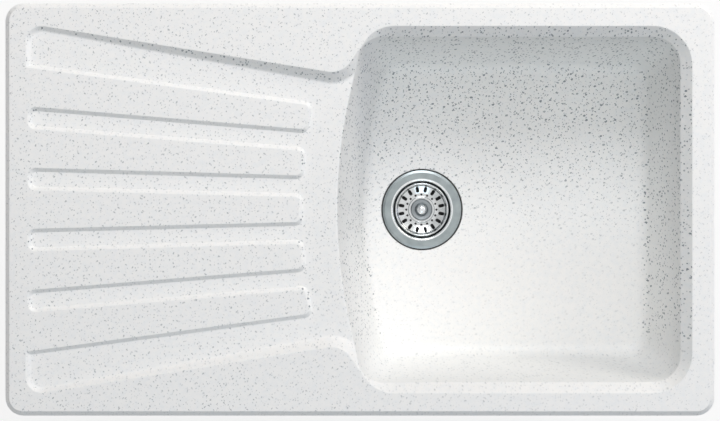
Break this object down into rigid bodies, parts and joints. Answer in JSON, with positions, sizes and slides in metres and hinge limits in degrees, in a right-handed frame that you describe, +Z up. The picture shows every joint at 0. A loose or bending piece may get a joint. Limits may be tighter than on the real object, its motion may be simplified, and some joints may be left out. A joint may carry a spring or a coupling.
{
  "type": "inset kitchen sink",
  "caption": "Inset composite-stone kitchen sink: ribbed drainer falling to a deep bowl, basket strainer waste, and hook clamps under the rim.",
  "frame": {"origin": "centre of the rim outline on the worktop plane, the underside of the rim", "axes": "+X along the sink from the drainer to the bowl, +Y to the back, +Z up"},
  "size_m": [0.86, 0.5, 0.2882],
  "materials": {
    "composite_stone": "fine matt, grey specks",
    "satin_stainless": "satin",
    "bright_stainless": "bright",
    "cap_chrome": "polished",
    "knob_metal": "satin",
    "zinc_steel": "zinc plated",
    "insert_brass": "turned",
    "seal_rubber": "matt",
    "stopper_rubber": "matt",
    "seal_foam": "matt",
    "anchor_nylon": "moulded",
    "waste_plastic": "moulded"
  },
  "bodies": {
    "sink": {"sink_body": "composite_stone", "rim_seal_strip": "seal_foam", "strainer_flange": "satin_stainless", "flange_seal": "seal_rubber", "body_seal": "seal_rubber", "waste_body": "waste_plastic", "insert_nut": "insert_brass", "sleeve_washer": "seal_rubber", "sleeve_screw": "bright_stainless", "clamp_anchors": "anchor_nylon", "clamp_washers": "zinc_steel", "clamp_screws": "zinc_steel"},
    "stopper": {"basket_stem": "bright_stainless", "basket_knob": "knob_metal", "knob_cap": "cap_chrome", "stem_ring": "seal_rubber", "basket_stopper": "stopper_rubber", "stopper_washer": "bright_stainless", "stem_nut": "bright_stainless"},
    "sieve": {"basket_cup": "bright_stainless"},
    "clamp_back_left": {"clamp_bracket_back_left": "zinc_steel"},
    "clamp_back_mid": {"clamp_bracket_back_mid": "zinc_steel"},
    "clamp_back_right": {"clamp_bracket_back_right": "zinc_steel"},
    "clamp_front_left": {"clamp_bracket_front_left": "zinc_steel"},
    "clamp_front_mid": {"clamp_bracket_front_mid": "zinc_steel"},
    "clamp_front_right": {"clamp_bracket_front_right": "zinc_steel"},
    "clamp_left_back": {"clamp_bracket_left_back": "zinc_steel"},
    "clamp_left_front": {"clamp_bracket_left_front": "zinc_steel"},
    "clamp_right_back": {"clamp_bracket_right_back": "zinc_steel"},
    "clamp_right_front": {"clamp_bracket_right_front": "zinc_steel"}
  },
  "joints": [
    {"name": "basket_lift", "type": "slide", "parent": "sink", "child": "stopper", "axis": [0, 0, 1], "range_m": [0, 0.26]},
    {"name": "basket_turn", "type": "hinge", "parent": "stopper", "child": "sieve", "pos_m": [0.083, 0, -0.1822], "axis": [0, 0, 1], "continuous": true},
    {"name": "clamp_swing_back_left", "type": "hinge", "parent": "sink", "child": "clamp_back_left", "pos_m": [-0.3, 0.227, -0.045], "axis": [0, 0, 1], "range_deg": [0, 90]},
    {"name": "clamp_swing_back_mid", "type": "hinge", "parent": "sink", "child": "clamp_back_mid", "pos_m": [0.04, 0.227, -0.045], "axis": [0, 0, 1], "range_deg": [0, 90]},
    {"name": "clamp_swing_back_right", "type": "hinge", "parent": "sink", "child": "clamp_back_right", "pos_m": [0.3, 0.227, -0.045], "axis": [0, 0, 1], "range_deg": [0, 90]},
    {"name": "clamp_swing_front_left", "type": "hinge", "parent": "sink", "child": "clamp_front_left", "pos_m": [-0.3, -0.227, -0.045], "axis": [0, 0, -1], "range_deg": [0, 90]},
    {"name": "clamp_swing_front_mid", "type": "hinge", "parent": "sink", "child": "clamp_front_mid", "pos_m": [0.04, -0.227, -0.045], "axis": [0, 0, -1], "range_deg": [0, 90]},
    {"name": "clamp_swing_front_right", "type": "hinge", "parent": "sink", "child": "clamp_front_right", "pos_m": [0.3, -0.227, -0.045], "axis": [0, 0, -1], "range_deg": [0, 90]},
    {"name": "clamp_swing_left_back", "type": "hinge", "parent": "sink", "child": "clamp_left_back", "pos_m": [-0.407, 0.12, -0.045], "axis": [0, 0, -1], "range_deg": [0, 90]},
    {"name": "clamp_swing_left_front", "type": "hinge", "parent": "sink", "child": "clamp_left_front", "pos_m": [-0.407, -0.12, -0.045], "axis": [0, 0, 1], "range_deg": [0, 90]},
    {"name": "clamp_swing_right_back", "type": "hinge", "parent": "sink", "child": "clamp_right_back", "pos_m": [0.407, 0.12, -0.045], "axis": [0, 0, 1], "range_deg": [0, 90]},
    {"name": "clamp_swing_right_front", "type": "hinge", "parent": "sink", "child": "clamp_right_front", "pos_m": [0.407, -0.12, -0.045], "axis": [0, 0, -1], "range_deg": [0, 90]}
  ]
}
